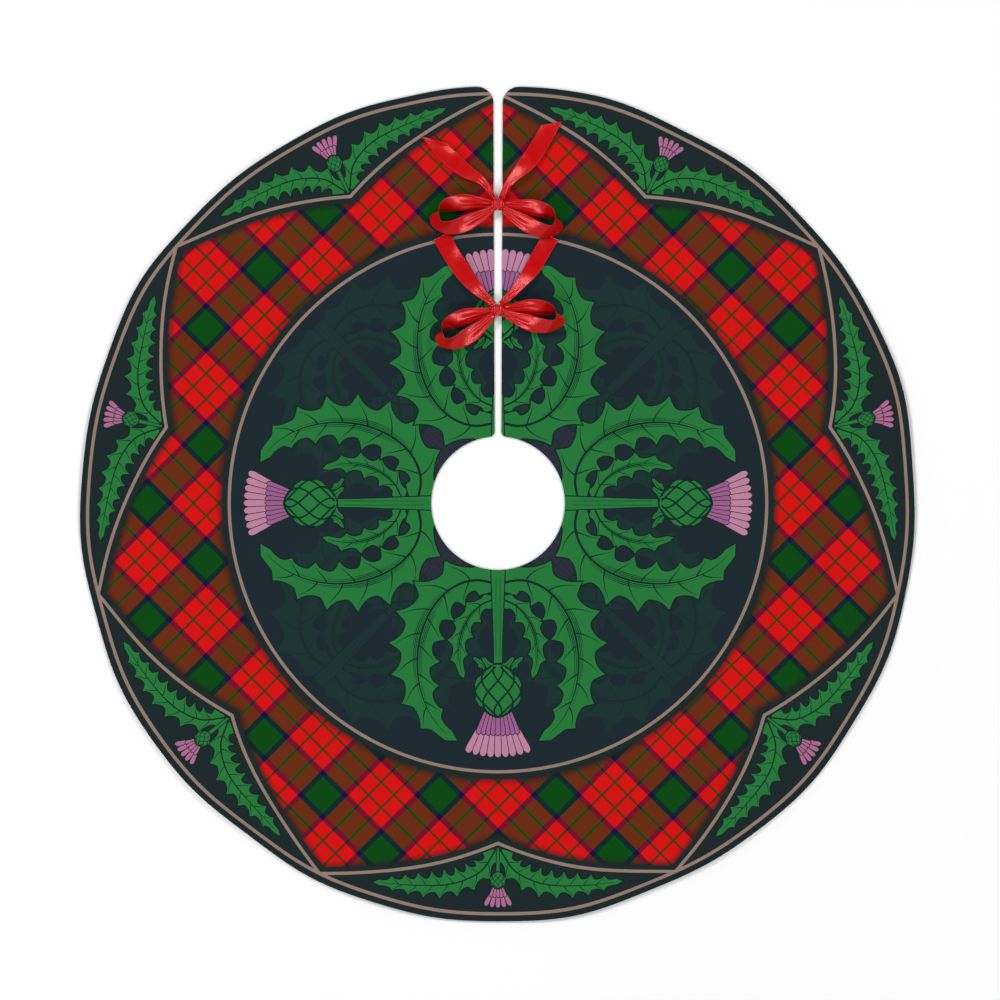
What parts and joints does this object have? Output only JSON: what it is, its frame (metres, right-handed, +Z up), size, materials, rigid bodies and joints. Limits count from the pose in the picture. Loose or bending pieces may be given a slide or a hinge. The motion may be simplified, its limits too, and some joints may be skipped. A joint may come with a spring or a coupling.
{
  "type": "tree skirt",
  "caption": "Round fabric tree skirt with a trunk hole, a slit from the hole to the rim and satin ribbon bows that close it.",
  "frame": {"origin": "centre of the round skirt on the floor", "axes": "+Z up through the trunk hole, the slit runs from the hole to the rim along +Y, +X to the right"},
  "size_m": [0.9142, 0.9137, 0.0236],
  "materials": {
    "printed_cloth": "printed, matt, fine weave",
    "lining": "plain weave, matt",
    "seam_thread": "sewing thread",
    "satin_ribbon": "satin, glossy"
  },
  "bodies": {
    "skirt": {"printed_cloth": "printed_cloth", "lining": "lining", "edge_seam": "seam_thread"},
    "left_flap": {"printed_cloth_left_flap": "printed_cloth", "lining_left_flap": "lining", "edge_seam_left_flap": "seam_thread", "upper_left_sewn_end": "satin_ribbon", "upper_left_knot_half": "satin_ribbon", "lower_left_sewn_end": "satin_ribbon", "lower_left_knot_half": "satin_ribbon", "lower_left_tail": "satin_ribbon"},
    "right_flap": {"printed_cloth_right_flap": "printed_cloth", "lining_right_flap": "lining", "edge_seam_right_flap": "seam_thread", "upper_right_sewn_end": "satin_ribbon", "upper_right_knot_half": "satin_ribbon", "lower_right_sewn_end": "satin_ribbon", "lower_right_knot_half": "satin_ribbon", "lower_right_tail": "satin_ribbon"},
    "upper_left_loop": {"upper_left_loop": "satin_ribbon"},
    "upper_right_loop": {"upper_right_loop": "satin_ribbon"},
    "lower_left_loop": {"lower_left_loop": "satin_ribbon"},
    "lower_right_loop": {"lower_right_loop": "satin_ribbon"},
    "upper_left_tail": {"upper_left_tail": "satin_ribbon"},
    "upper_right_tail": {"upper_right_tail": "satin_ribbon"}
  },
  "joints": [
    {"name": "left_flap_fold", "type": "hinge", "parent": "skirt", "child": "left_flap", "pos_m": [0, 0, 0.0026], "axis": [0.6157, -0.788, 0], "range_deg": [0, 130]},
    {"name": "right_flap_fold", "type": "hinge", "parent": "skirt", "child": "right_flap", "pos_m": [0, 0, 0.0026], "axis": [0.6157, 0.788, 0], "range_deg": [0, 130]},
    {"name": "upper_left_loop_lift", "type": "hinge", "parent": "left_flap", "child": "upper_left_loop", "pos_m": [0, 0.325, 0.008], "axis": [-0.2419, 0.9703, 0], "range_deg": [0, 40]},
    {"name": "upper_right_loop_lift", "type": "hinge", "parent": "right_flap", "child": "upper_right_loop", "pos_m": [0, 0.325, 0.008], "axis": [-0.342, -0.9397, 0], "range_deg": [0, 40]},
    {"name": "lower_left_loop_lift", "type": "hinge", "parent": "left_flap", "child": "lower_left_loop", "pos_m": [0, 0.21, 0.008], "axis": [-0.454, 0.891, 0], "range_deg": [0, 40]},
    {"name": "lower_right_loop_lift", "type": "hinge", "parent": "right_flap", "child": "lower_right_loop", "pos_m": [0, 0.21, 0.008], "axis": [-0.1564, -0.9877, 0], "range_deg": [0, 40]},
    {"name": "upper_left_tail_lift", "type": "hinge", "parent": "left_flap", "child": "upper_left_tail", "pos_m": [0, 0.325, 0.008], "axis": [0.6691, 0.7431, 0], "range_deg": [0, 45]},
    {"name": "upper_right_tail_lift", "type": "hinge", "parent": "right_flap", "child": "upper_right_tail", "pos_m": [0, 0.325, 0.008], "axis": [0.8829, -0.4695, 0], "range_deg": [0, 45]}
  ]
}
